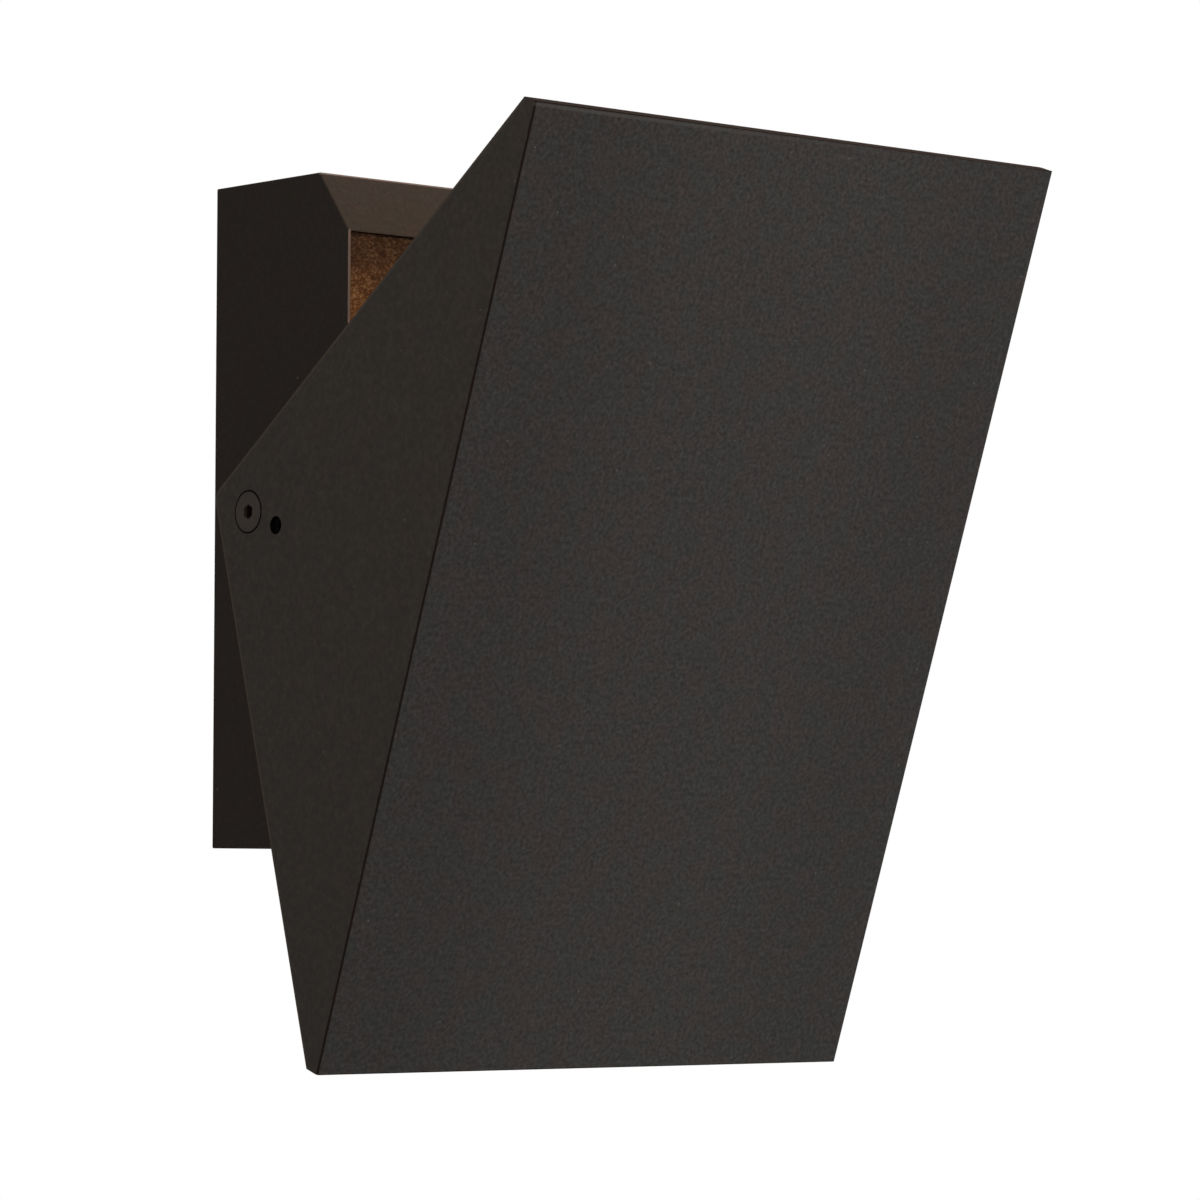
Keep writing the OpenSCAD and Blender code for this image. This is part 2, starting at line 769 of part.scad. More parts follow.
mounting_plate();
ground_screw();
wall_gasket();
housing();
housing_screws();
led_driver();
driver_screws();
terminal_block();
terminal_clamps();
terminal_screws();
driver_leads();
wire_grommet();
led_leads();
led_board();
led_packages();
led_board_screws();
reflector_tray();
lens_gasket();
lens();
pivot_nuts();
pivot_screws();
pivot_washers();
shield();
lock_screws();
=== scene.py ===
import math

import bpy
import numpy as np
from mathutils import Matrix, Vector


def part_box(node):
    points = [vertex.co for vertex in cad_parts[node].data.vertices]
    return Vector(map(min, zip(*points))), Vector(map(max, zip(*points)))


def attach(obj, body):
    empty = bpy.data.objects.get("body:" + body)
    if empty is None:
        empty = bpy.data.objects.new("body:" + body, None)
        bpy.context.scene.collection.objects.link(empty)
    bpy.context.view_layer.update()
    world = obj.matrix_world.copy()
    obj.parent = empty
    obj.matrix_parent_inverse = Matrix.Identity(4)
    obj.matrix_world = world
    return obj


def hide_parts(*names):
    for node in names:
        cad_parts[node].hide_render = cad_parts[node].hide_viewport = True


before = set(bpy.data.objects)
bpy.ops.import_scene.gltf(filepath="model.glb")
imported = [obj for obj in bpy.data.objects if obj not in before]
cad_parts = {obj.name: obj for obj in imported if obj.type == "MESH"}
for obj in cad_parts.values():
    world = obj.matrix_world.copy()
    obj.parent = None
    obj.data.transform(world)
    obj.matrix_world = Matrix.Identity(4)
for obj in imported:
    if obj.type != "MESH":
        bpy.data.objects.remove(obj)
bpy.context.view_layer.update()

# Mounting plate: pressed from 1.6 mm steel sheet with two tabs bent forward, then zinc plated.
# Rolling leaves fine streaks up and down it, and the passivation a faint yellow bloom. It is
# screwed to the wall box first, and the housing is pushed on over its tabs.


def feed(inputs, feeds):
    """Gives each input that feeds names, or numbers, its value or another node's socket."""
    for name, value in feeds.items():
        if isinstance(value, bpy.types.NodeSocket):
            value.id_data.links.new(value, inputs[name])
        else:
            inputs[name].default_value = value


def put(tree, kind, feeds=None, **settings):
    """Adds a shader node. settings are its own properties, and feeds is for its inputs."""
    node = tree.nodes.new(kind)
    for name, value in settings.items():
        setattr(node, name, value)
    feed(node.inputs, feeds or {})
    return node


def figure(tree, operation, *terms):
    """The result of a Math node, whose terms are numbers or sockets."""
    return put(tree, "ShaderNodeMath", dict(enumerate(terms)), operation=operation).outputs[0]


def step(tree, value, start, full):
    """A soft step: 0 where value is at start, 1 where it is at full."""
    feeds = {0: value, 1: start, 2: full}
    return put(tree, "ShaderNodeMapRange", feeds, interpolation_type="SMOOTHSTEP").outputs[0]


def between(tree, share, low, high):
    """A number that is low where share is 0 and high where it is 1."""
    return figure(tree, "MULTIPLY_ADD", share, high - low, low)


def tint(tree, share, low, high):
    """A colour that is low where share is 0 and high where it is 1."""
    return put(tree, "ShaderNodeMix", {0: share, 6: low, 7: high}, data_type="RGBA").outputs[2]


def noise(tree, place, rate, detail=2.0):
    """Noise with about rate humps to the metre, between 0 and 1."""
    feeds = {"Vector": place, "Scale": rate, "Detail": detail, "Roughness": 0.6}
    return put(tree, "ShaderNodeTexNoise", feeds).outputs[0]


def bump(tree, height, depth):
    """Normals of a relief that is depth metres high where height goes from 0 to 1."""
    return put(tree, "ShaderNodeBump", {"Height": height, "Distance": depth}).outputs[0]


def stretched(tree, place, scale):
    """A place for a pattern that is drawn out along the axes whose scale is under 1."""
    return put(tree, "ShaderNodeMapping", {"Vector": place, "Scale": scale}).outputs[0]


def effect(name, inputs, outputs):
    """Starts a node group. inputs maps a socket's name to its kind and value, and outputs to
    its kind. Returns the group, the sockets it is given and the sockets it gives out."""
    group = bpy.data.node_groups.new(name, "ShaderNodeTree")
    for label, (kind, value) in inputs.items():
        kind = "NodeSocket" + kind
        group.interface.new_socket(label, in_out="INPUT", socket_type=kind).default_value = value
    for label, kind in outputs.items():
        group.interface.new_socket(label, in_out="OUTPUT", socket_type="NodeSocket" + kind)
    given = group.nodes.new("NodeGroupInput").outputs
    return group, given, group.nodes.new("NodeGroupOutput").inputs


def finish(name, *pieces):
    """Makes a material, puts it on the CAD nodes or new objects and returns its tree, its
    shader's inputs and the Object coordinates."""
    material = bpy.data.materials.new(name)
    material.use_nodes = True
    tree = material.node_tree
    for piece in pieces:
        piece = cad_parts.get(piece, piece)
        if not piece.material_slots:
            piece.data.materials.append(material)
        for spot in piece.material_slots:
            spot.material = material
    shader = tree.nodes["Principled BSDF"].inputs
    return tree, shader, put(tree, "ShaderNodeTexCoord").outputs["Object"]


def cover(tree, shader, group, feeds):
    """Places an effect in a material and joins its outputs to the shader's inputs of the same
    names. Returns the placed effect's outputs."""
    look = put(tree, "ShaderNodeGroup", feeds, node_tree=group).outputs
    feed(shader, {socket.name: socket for socket in look})
    return look


# Grain and stain of bare or plated metal: a fine grain breaks up the gloss, and slow clouds
# carry the stain.
full_look = {"Base Color": "Color", "Roughness": "Float", "Normal": "Vector"}
clouds_to_grains, grain_gloss, grain_height = 0.06, 0.3, 0.00002
metal, given, made = effect(
    "Metal grain",
    {
        "Place": ("Vector", (0, 0, 0)),
        "Metal": ("Color", (0.6, 0.6, 0.6, 1)),
        "Stain": ("Color", (0.4, 0.4, 0.4, 1)),
        "Grains": ("Float", 2500.0),
        "Dullness": ("Float", 0.3),
    },
    full_look,
)
grain = noise(metal, given["Place"], given["Grains"], detail=3.0)
cloud_rate = figure(metal, "MULTIPLY", given["Grains"], clouds_to_grains)
stained = step(metal, noise(metal, given["Place"], cloud_rate), start=0.4, full=0.7)
feed(made, {
    "Base Color": tint(metal, stained, given["Metal"], given["Stain"]),
    "Roughness": figure(metal, "MULTIPLY_ADD", grain, grain_gloss, given["Dullness"]),
    "Normal": bump(metal, grain, grain_height),
})

tree, shader, place = finish("zinc_plate", "mounting_plate")
cover(tree, shader, metal, {
    "Place": stretched(tree, place, (1, 1, 0.06)),
    "Metal": (0.55, 0.56, 0.56, 1), "Stain": (0.55, 0.53, 0.46, 1),
    "Grains": 2600.0, "Dullness": 0.22,
})
feed(shader, {"Metallic": 1.0})

# Earth screw: turned from brass, flat-headed with one slot, in the plate's tapped hole. Brass
# left in the air goes brown where fingers have touched it.
tree, shader, place = finish("earth_brass", "ground_screw")
cover(tree, shader, metal, {
    "Place": place, "Metal": (0.62, 0.43, 0.16, 1), "Stain": (0.33, 0.19, 0.07, 1),
    "Grains": 5200.0, "Dullness": 0.2,
})
feed(shader, {"Metallic": 1.0})

# Wall gasket: die-cut from closed-cell foam rubber and glued into the rebate in the housing's
# back rim, where it closes the joint to the wall.
cells_per_metre, cell_depth = 1700.0, 0.00025
tree, shader, place = finish("foam", "wall_gasket")
cells = put(tree, "ShaderNodeTexVoronoi", {"Vector": place, "Scale": cells_per_metre}).outputs[0]
pore = step(tree, cells, start=0.5, full=0.1)
feed(shader, {
    "Base Color": tint(tree, pore, (0.028, 0.028, 0.03, 1), (0.006, 0.006, 0.006, 1)),
    "Roughness": between(tree, pore, 0.95, 0.75),
    "Normal": bump(tree, cells, cell_depth),
    "Specular IOR Level": 0.2,
})

# Housing: die-cast in aluminium and coated with a fine-textured dark bronze powder, baked hard.
# Its flat sides are coloured darkest. Painted highlights run as fine pale lines along the top of
# the slope and on the narrow lip beside the lens, and painted light lifts the rebate's walls.

# Fine-textured powder coat: beads of cured powder about a millimetre across, with finer grain on
# them and lighter on their crowns, over patches of warmer and cooler tone some 5 mm across.
patches_to_beads, mean_crown, full_mottle, bead_height = 0.2, 0.26, 2.5, 0.00002
powder, given, made = effect(
    "Powder coat",
    {
        "Place": ("Vector", (0, 0, 0)),
        "Coat": ("Color", (0.03, 0.03, 0.03, 1)),
        "Drift": ("Color", (0.03, 0.03, 0.03, 1)),
        "Beads": ("Float", 1000.0),
        "Mottle": ("Float", 0.5),
    },
    full_look,
)


def dimmed(tree, colour, share):
    """A colour times a number."""
    feeds = {0: colour, "Scale": share}
    return put(tree, "ShaderNodeVectorMath", feeds, operation="SCALE").outputs[0]


bead = noise(powder, given["Place"], given["Beads"], detail=3.0)
patch_rate = figure(powder, "MULTIPLY", given["Beads"], patches_to_beads)
patch = step(powder, noise(powder, given["Place"], patch_rate), start=0.35, full=0.65)
crown = figure(powder, "SUBTRACT", figure(powder, "MULTIPLY", bead, bead), mean_crown)
swing = figure(powder, "MULTIPLY", given["Mottle"], full_mottle)
shade = figure(powder, "MULTIPLY_ADD", crown, swing, 1.0)
feed(made, {
    "Base Color": dimmed(powder, tint(powder, patch, given["Coat"], given["Drift"]), shade),
    "Roughness": between(powder, bead, 0.75, 0.95),
    "Normal": bump(powder, bead, bead_height),
})

# A line along an edge: 1 up to half its reach from the edge, fading to 0 at its reach.
line, given, made = effect(
    "Edge line",
    {"Distance": ("Float", 1.0), "Reach": ("Float", 0.0005)},
    {"Mask": "Float"},
)
half_reach = figure(line, "MULTIPLY", given["Reach"], 0.5)
feed(made, {"Mask": step(line, given["Distance"], given["Reach"], half_reach)})

# Dust: pale specks a few tenths of a millimetre across, one here and there.
dust, given, made = effect(
    "Dust specks",
    {"Place": ("Vector", (0, 0, 0)), "Spacing": ("Float", 0.009), "Size": ("Float", 0.0003)},
    {"Mask": "Float"},
)
per_metre = figure(dust, "DIVIDE", 1.0, given["Spacing"])
speck = put(dust, "ShaderNodeTexVoronoi", {"Vector": given["Place"], "Scale": per_metre})
away = figure(dust, "MULTIPLY", speck.outputs["Distance"], given["Spacing"])
half_size = figure(dust, "MULTIPLY", given["Size"], 0.5)
feed(made, {"Mask": step(dust, away, given["Size"], half_size)})


def mask(tree, group, **feeds):
    """Places an effect that gives out one mask."""
    return put(tree, "ShaderNodeGroup", feeds, node_tree=group).outputs["Mask"]


def split(tree, place):
    """The x, y and z of a place."""
    return put(tree, "ShaderNodeSeparateXYZ", {0: place}).outputs


def unsigned(tree, value):
    """A value without its sign."""
    return figure(tree, "ABSOLUTE", value)


def under(tree, value, limit):
    """1 where value is under limit, otherwise 0."""
    return figure(tree, "LESS_THAN", value, limit)


def over(tree, value, limit):
    """1 where value is over limit, otherwise 0."""
    return figure(tree, "GREATER_THAN", value, limit)


def both(tree, one, other):
    """Two masks multiplied: 1 where both are 1."""
    return figure(tree, "MULTIPLY", one, other)


def either(tree, one, other):
    """The greater of two masks: 1 where one of them is 1."""
    return figure(tree, "MAXIMUM", one, other)


def apart(tree, *gaps):
    """Distance from an edge, worked out from the distances to its two faces' planes:
    the root of the sum of their squares."""
    squares = [figure(tree, "MULTIPLY", gap, gap) for gap in gaps]
    return figure(tree, "SQRT", figure(tree, "ADD", *squares))


def layered(tree, colour, *layers):
    """A colour under layers, each a mask and its own colour, with the last one on top."""
    for share, over_it in layers:
        colour = tint(tree, share, colour, over_it)
    return colour


housing_half_width, housing_half_height, front_depth, slope_depth = 0.0605, 0.062, 0.0395, 0.031
lip_width, rebate_depth, rebate_half_height = 0.0005, 0.0009, 0.05055
at_face, brow_highlight_reach, speck_size, side_share = 0.00005, 0.0005, 0.00025, (0.66, 0.72, 0.76)
tree, shader, place = finish("housing_coat", "housing")
look = cover(tree, shader, powder, {
    "Place": place, "Coat": (0.0352, 0.0300, 0.0260, 1), "Drift": (0.0378, 0.0294, 0.0255, 1),
    "Beads": 1200.0, "Mottle": 0.3,
})
feeds = {0: look["Base Color"], 1: side_share}
darker = put(tree, "ShaderNodeVectorMath", feeds, operation="MULTIPLY").outputs[0]
x, y, z = split(tree, place)
to_side = figure(tree, "SUBTRACT", housing_half_width, unsigned(tree, x))
to_front = figure(tree, "ADD", front_depth, y)
to_top = figure(tree, "SUBTRACT", housing_half_height, unsigned(tree, z))
to_slope = figure(tree, "ADD", slope_depth, y)
flat_side = under(tree, to_side, at_face)
# Painted highlight: a pale line along the edge between the top and the slope.
brow_highlight = mask(tree, line, Distance=apart(tree, to_top, to_slope), Reach=brow_highlight_reach)
in_opening = both(
    tree, over(tree, to_side, lip_width), under(tree, unsigned(tree, z), rebate_half_height)
)
# Painted light: the rebate's walls round the lens are coloured lighter than the coat, thinning
# their shadow.
lit_rebate_wall = both(tree, in_opening, under(tree, to_front, rebate_depth))
# Painted highlight: the narrow lip beside the lens is coloured pale.
lip = both(tree, under(tree, to_side, lip_width), under(tree, to_front, at_face))
feed(shader, {
    "Base Color": layered(
        tree, look["Base Color"],
        (flat_side, darker),
        (brow_highlight, (0.15, 0.115, 0.105, 1)),
        (lit_rebate_wall, (0.09, 0.06, 0.042, 1)),
        (lip, (0.125, 0.093, 0.087, 1)),
        (mask(tree, dust, Place=place, Size=speck_size), (0.1, 0.09, 0.08, 1)),
    ),
    "Specular IOR Level": 0.04,
})

# Fixing screws: black-oxide stainless, countersunk, one in the top and one in the bottom. They
# run through the housing into the plate's tabs. The pivot screws have the same finish, with
# painted shade in the socket and where the head meets its seat.
pivot_depth, head_edge, seam_half, seam_fade = 0.016, 0.0038, 0.0001, 0.0002
socket_r, socket_start = 0.00146, 0.0643
tree, shader, place = finish("dark_screw", "housing_screws", "pivot_screws")
look = cover(tree, shader, metal, {
    "Place": place, "Metal": (0.034, 0.029, 0.025, 1), "Stain": (0.026, 0.022, 0.019, 1),
    "Grains": 4200.0, "Dullness": 0.4,
})
x, y, z = split(tree, place)
from_axis = apart(tree, figure(tree, "ADD", y, pivot_depth), z)
seam_start = head_edge - seam_half
# Painted shade: a dark ring where the pivot screw's head meets its seat, and the socket darkened.
seam_shade = both(
    tree, step(tree, from_axis, seam_start - seam_fade, seam_start),
    under(tree, from_axis, head_edge + seam_half),
)
socket = both(
    tree, under(tree, from_axis, socket_r), under(tree, unsigned(tree, x), socket_start)
)
dark = either(tree, seam_shade, socket)
feed(shader, {
    "Base Color": tint(tree, dark, look["Base Color"], (0.008, 0.006, 0.005, 1)),
    "Specular IOR Level": 0.08,
})

# Constant-current driver: a potted module in a moulded white case with two screw ears, which
# stands on bosses behind the housing's web.

# Moulded skin: the spark-eroded mould leaves a fine matt grain, a little duller in its hollows.
duller_hollows, skin_height = 0.15, 0.00003
moulded, given, made = effect(
    "Moulded skin",
    {
        "Place": ("Vector", (0, 0, 0)),
        "Resin": ("Color", (0.7, 0.7, 0.7, 1)),
        "Hollow": ("Color", (0.6, 0.6, 0.6, 1)),
        "Grains": ("Float", 2500.0),
        "Dullness": ("Float", 0.4),
    },
    full_look,
)
grain = noise(moulded, given["Place"], given["Grains"])
low = step(moulded, grain, start=0.6, full=0.35)
feed(made, {
    "Base Color": tint(moulded, low, given["Resin"], given["Hollow"]),
    "Roughness": figure(moulded, "MULTIPLY_ADD", low, duller_hollows, given["Dullness"]),
    "Normal": bump(moulded, grain, skin_height),
})

tree, shader, place = finish("driver_plastic", "led_driver")
cover(tree, shader, moulded, {
    "Place": place, "Resin": (0.72, 0.72, 0.69, 1), "Hollow": (0.64, 0.64, 0.61, 1),
    "Grains": 2400.0, "Dullness": 0.42,
})

# Small steel screws: zinc-plated pan heads that hold the driver, the terminal block and the
# lamp's board. The pivots' lock nuts, in their hexagonal pockets, have the same finish.
tree, shader, place = finish(
    "plain_screw", "driver_screws", "terminal_screws", "led_board_screws", "pivot_nuts"
)
cover(tree, shader, metal, {
    "Place": place, "Metal": (0.52, 0.52, 0.5, 1), "Stain": (0.4, 0.39, 0.35, 1),
    "Grains": 4800.0, "Dullness": 0.24,
})
feed(shader, {"Metallic": 1.0})

# Terminal block: three poles moulded in natural nylon, with brass clamp screws that are driven
# from behind, through the plate's window. The pivots' friction washers are nylon too.
tree, shader, place = finish("nylon", "terminal_block", "pivot_washers")
cover(tree, shader, moulded, {
    "Place": place, "Resin": (0.66, 0.62, 0.5, 1), "Hollow": (0.58, 0.54, 0.43, 1),
    "Grains": 1800.0, "Dullness": 0.36,
})
feed(shader, {"Subsurface Weight": 0.15, "Subsurface Radius": (0.002, 0.0015, 0.001)})

tree, shader, place = finish("clamp_brass", "terminal_clamps")
cover(tree, shader, metal, {
    "Place": place, "Metal": (0.66, 0.47, 0.18, 1), "Stain": (0.45, 0.29, 0.11, 1),
    "Grains": 5600.0, "Dullness": 0.25,
})
feed(shader, {"Metallic": 1.0})

# Leads: stranded copper in extruded insulation. The two supply leads run down from the driver
# into the block, and the lamp's red and black pair goes through the web to its board. Of that
# pair the black one runs round the outside of the bend.
tree, shader, place = finish("wire_black", "driver_leads")
cover(tree, shader, moulded, {
    "Place": stretched(tree, place, (1, 1, 0.08)),
    "Resin": (0.022, 0.022, 0.023, 1), "Hollow": (0.015, 0.015, 0.015, 1),
    "Grains": 3800.0, "Dullness": 0.3,
})

bend_x, bend_depth, bend_r = 0.029, 0.0155, 0.004
tree, shader, place = finish("wire_pair", "led_leads")
look = cover(tree, shader, moulded, {
    "Place": stretched(tree, place, (0.1, 0.1, 1)),
    "Resin": (0.3, 0.02, 0.015, 1), "Hollow": (0.24, 0.016, 0.012, 1),
    "Grains": 4200.0, "Dullness": 0.3,
})
x, y = split(tree, place)[:2]
past_bend = figure(tree, "MAXIMUM", figure(tree, "SUBTRACT", x, bend_x), 0.0)
short_of_bend = figure(tree, "MAXIMUM", figure(tree, "ADD", bend_depth, y), 0.0)
outer = over(tree, apart(tree, past_bend, short_of_bend), bend_r)
feed(shader, {"Base Color": tint(tree, outer, look["Base Color"], (0.02, 0.02, 0.021, 1))})

# Grommet: a bush moulded in black rubber and snapped into the web's hole, so that the hole's
# edge can't cut the leads.
tree, shader, place = finish("rubber", "wire_grommet")
cover(tree, shader, moulded, {
    "Place": place, "Resin": (0.02, 0.02, 0.02, 1), "Hollow": (0.012, 0.012, 0.012, 1),
    "Grains": 3000.0, "Dullness": 0.6,
})
feed(shader, {"Specular IOR Level": 0.3})

# Lamp board: aluminium-backed, under a white solder mask, and screwed to bosses on the web. The
# copper tracks between the rows of chips show through as faint raised bands.
half_pitch, track_edge, track_side, track_height = 0.009, 0.0078, 0.0082, 0.00006
tree, shader, place = finish("board", "led_board")
from_row = figure(tree, "PINGPONG", split(tree, place)[2], half_pitch)
track = step(tree, from_row, track_edge, track_side)
feed(shader, {
    "Base Color": tint(tree, track, (0.78, 0.78, 0.75, 1), (0.7, 0.68, 0.62, 1)),
    "Roughness": between(tree, noise(tree, place, rate=3000.0), 0.3, 0.6),
    "Normal": bump(tree, track, track_height),
})

# Chips: white lamp packages with a round yellow phosphor window, soldered to the board at an
# even pitch.
window_edge, window_inside = 0.0013, 0.00118
tree, shader, place = finish("chip", "led_packages")
axes = split(tree, place)
from_column = figure(tree, "PINGPONG", figure(tree, "ADD", axes[0], half_pitch), half_pitch)
from_row = figure(tree, "PINGPONG", axes[2], half_pitch)
window = step(tree, apart(tree, from_column, from_row), window_edge, window_inside)
grain = noise(tree, place, rate=9000.0)
phosphor = tint(tree, grain, (0.85, 0.62, 0.08, 1), (0.75, 0.5, 0.05, 1))
feed(shader, {
    "Base Color": tint(tree, window, (0.8, 0.8, 0.77, 1), phosphor),
    "Roughness": between(tree, window, 0.45, 0.25),
})

# Reflector tray: vacuum-formed from glossy white sheet, held down by the board's screws. It
# throws the light forward through the lens.
tree, shader, place = finish("tray_white", "reflector_tray")
cover(tree, shader, moulded, {
    "Place": place, "Resin": (0.85, 0.85, 0.83, 1), "Hollow": (0.8, 0.8, 0.78, 1),
    "Grains": 900.0, "Dullness": 0.18,
})

# Lens seal: a flat ring of silicone rubber, laid on the ledge of the rebate before the lens is
# pressed in.
tree, shader, place = finish("silicone", "lens_gasket")
cover(tree, shader, moulded, {
    "Place": place, "Resin": (0.3, 0.29, 0.27, 1), "Hollow": (0.26, 0.25, 0.23, 1),
    "Grains": 2200.0, "Dullness": 0.4,
})
feed(shader, {"Subsurface Weight": 0.2, "Subsurface Radius": (0.001, 0.001, 0.001)})

# Lens: 3 mm of amber acrylic, cast against a pebbled plate and bonded into the rebate. Fine
# brown and orange fibres run through it, and painted shade darkens it towards its top and bottom
# edges.


def pebbled_panel(name, half_x, half_z, front, back, edge, margin, pitch, relief, waves):
    """A closed panel, one grid wrapped from the back rim over the front. The inner points lie
    at depth front - relief * (1 - r) / 2, where r is the mean of cosines of waves, each
    (wavelength, heading, phase), and the relief fades out over a margin along the rim. The
    outer ring is the back rim, the next is the front rim pulled back by edge, and an n-gon
    closes the back."""
    columns, rows = round(2 * half_x / pitch), round(2 * half_z / pitch)
    inner_x = np.linspace(edge - half_x, half_x - edge, columns)
    inner_z = np.linspace(edge - half_z, half_z - edge, rows)
    x = np.concatenate([[-half_x] * 2, inner_x, [half_x] * 2])
    z = np.concatenate([[-half_z] * 2, inner_z, [half_z] * 2])
    x, z = np.meshgrid(x, z)
    length, heading, phase = np.array(waves).T[:, :, None, None]
    along = x * np.cos(heading) + z * np.sin(heading)
    ripple = np.cos(2 * np.pi * along / length + phase).mean(axis=0)
    rim = np.minimum(half_x - np.abs(x), half_z - np.abs(z))
    fade = np.clip(rim / margin, 0, 1)
    depth = front - relief * fade * (1 - ripple) / 2
    inner, front_rim, back_rim = 0, 1, 2
    ring = np.full(depth.shape, back_rim)
    ring[1:-1, 1:-1] = front_rim
    ring[2:-2, 2:-2] = inner
    depth = np.select([ring == back_rim, ring == front_rim], [back, front - edge], depth)
    points = np.stack([x, -depth, z], axis=-1).reshape(-1, 3)
    number = np.arange(depth.size).reshape(depth.shape)
    faces = np.stack(
        [number[:-1, :-1], number[:-1, 1:], number[1:, 1:], number[1:, :-1]], axis=-1
    ).reshape(-1, 4)
    behind = np.concatenate(
        [number[:-1, 0], number[-1, :-1], number[:0:-1, -1], number[0, :0:-1]]
    )
    mesh = bpy.data.meshes.new(name)
    mesh.from_pydata(points.tolist(), [], faces.tolist() + [behind.tolist()])
    mesh.update()
    panel = bpy.data.objects.new(name, mesh)
    bpy.context.scene.collection.objects.link(panel)
    return panel


lens_low, lens_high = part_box("lens")
squeezed_out, bonded_proud = 0.00018, 0.0003
seeded, wave_count, shortest, longest = np.random.default_rng(7), 14, 0.0011, 0.0024
headings = seeded.uniform(0, np.pi, wave_count)
lengths = seeded.uniform(shortest, longest, wave_count)
phases = seeded.uniform(0, 2 * np.pi, wave_count)
lens_panel = pebbled_panel(
    "lens_panel", lens_high[0] + squeezed_out, lens_high[2] + squeezed_out,
    bonded_proud - lens_low[1], -lens_high[1], edge=0.00012, margin=0.0015, pitch=0.0005,
    relief=0.0001, waves=list(zip(lengths, headings, phases)),
)

umber, ochre = (0.108, 0.046, 0.0185, 1), (0.172, 0.083, 0.039, 1)
gold = (0.322, 0.180, 0.095, 1)
fibre_lean, fibre_scale, fibre_height = (0, -0.3, 0), (0.7, 1, 1.1), 0.00003
shade_start, shade_full, edge_shade_share, cloud_low, cloud_high = 0.028, 0.05, 0.22, 0.4, 1.6
tree, shader, place = finish("amber_lens", lens_panel)
leaning = put(
    tree, "ShaderNodeMapping", {"Vector": place, "Rotation": fibre_lean, "Scale": fibre_scale}
).outputs[0]
fibre = noise(tree, leaning, rate=2400.0, detail=3.0)
cloud = noise(tree, leaning, rate=420.0)
amber = tint(tree, step(tree, fibre, start=0.4, full=0.52), umber, ochre)
amber = tint(tree, step(tree, fibre, start=0.52, full=0.66), amber, gold)
# Painted shade: the lens is darkened towards its top and bottom edges.
shade_toward_edge = step(tree, unsigned(tree, split(tree, place)[2]), shade_start, shade_full)
lit_share = between(tree, shade_toward_edge, 1.0, edge_shade_share)
clouded = between(tree, cloud, cloud_low, cloud_high)
feed(shader, {
    "Base Color": dimmed(tree, amber, figure(tree, "MULTIPLY", lit_share, clouded)),
    "Roughness": between(tree, fibre, 0.45, 0.65),
    "Normal": bump(tree, fibre, fibre_height),
    "Specular IOR Level": 0.1,
})
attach(lens_panel, "root")
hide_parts("lens")

# Shield: folded from 3.5 mm aluminium sheet into a channel, with its side plates cut to a
# point at the pivots, and coated like the housing. Painted shade darkens it along the two
# upright folds and on the cut ends, and painted highlights run pale along the rear edges and
# near one top corner.
shield_half_width, shield_half_height, shield_reach = 0.065, 0.09025, 0.0543
at_front, at_side, at_cut = 0.0005, 0.00004, 0.00002
turn = math.radians(19.25)
tree, shader, place = finish("shield_coat", "shield")
on_shield = put(tree, "ShaderNodeMapping", {
    "Vector": place, "Rotation": (-turn, 0, 0),
    "Location": (0, pivot_depth * math.cos(turn), -pivot_depth * math.sin(turn)),
}).outputs[0]
x, y, z = split(tree, on_shield)
to_side = figure(tree, "SUBTRACT", shield_half_width, unsigned(tree, x))
to_front = figure(tree, "ADD", shield_reach, y)
to_end = figure(tree, "SUBTRACT", shield_half_height, unsigned(tree, z))
front = under(tree, to_front, at_front)

# Its front plate is the cooler and the more finely beaded, and painted shade darkens it near the
# folds.
side_beads, front_beads, side_mottle, front_mottle = 900.0, 1250.0, 0.38, 0.7
fold_shade_start, fold_shade_full, fold_shade_share = 0.015, 0.056, 0.89
look = cover(tree, shader, powder, {
    "Place": on_shield,
    "Coat": tint(tree, front, (0.0396, 0.0386, 0.0366, 1), (0.0369, 0.0375, 0.0356, 1)),
    "Drift": tint(tree, front, (0.0410, 0.0380, 0.0362, 1), (0.0415, 0.0362, 0.0348, 1)),
    "Beads": between(tree, front, side_beads, front_beads),
    "Mottle": between(tree, front, side_mottle, front_mottle),
})
shade_toward_fold = both(tree, step(tree, unsigned(tree, x), fold_shade_start, fold_shade_full), front)
fold_shaded = between(tree, shade_toward_fold, 1.0, fold_shade_share)

# Painted shade: dark lines along the folds, and on the cut top and bottom edges with the
# front's rims along them, broader towards one side.
fold_shade_reach, rim_reach, broad_rim = 0.00042, 0.00013, 0.00023
end_start, end_full = 0.03, -0.06
fold_shade = mask(tree, line, Distance=apart(tree, to_side, to_front), Reach=fold_shade_reach)
one_end = step(tree, x, end_start, end_full)
reach = between(tree, one_end, rim_reach, broad_rim)
# Painted shade on the rims and on the cut end faces.
rim = mask(tree, line, Distance=apart(tree, to_end, to_front), Reach=reach)
cut = either(tree, rim, under(tree, to_end, at_cut))

# Painted highlights: a pale line just below the top rim, and the slanted rear edges, whose
# normal is (slant_y, slant_z) and which would meet at apex_depth behind the pivot.
top_highlight_below, top_highlight_reach, top_highlight_share = 0.0006, 0.0004, 0.4
apex_depth, slant_y, slant_z, rear_reach, rear_share = 0.0111, 0.8246, 0.5656, 0.0009, 0.6
from_top_highlight = unsigned(tree, figure(tree, "SUBTRACT", shield_half_height - top_highlight_below, z))
top_highlight_line = both(tree, mask(tree, line, Distance=from_top_highlight, Reach=top_highlight_reach), front)
top_highlight = figure(tree, "MULTIPLY", both(tree, top_highlight_line, one_end), top_highlight_share)
before_apex = figure(tree, "MULTIPLY_ADD", y, -slant_y, apex_depth * slant_y)
to_rear = figure(tree, "MULTIPLY_ADD", unsigned(tree, z), -slant_z, before_apex)
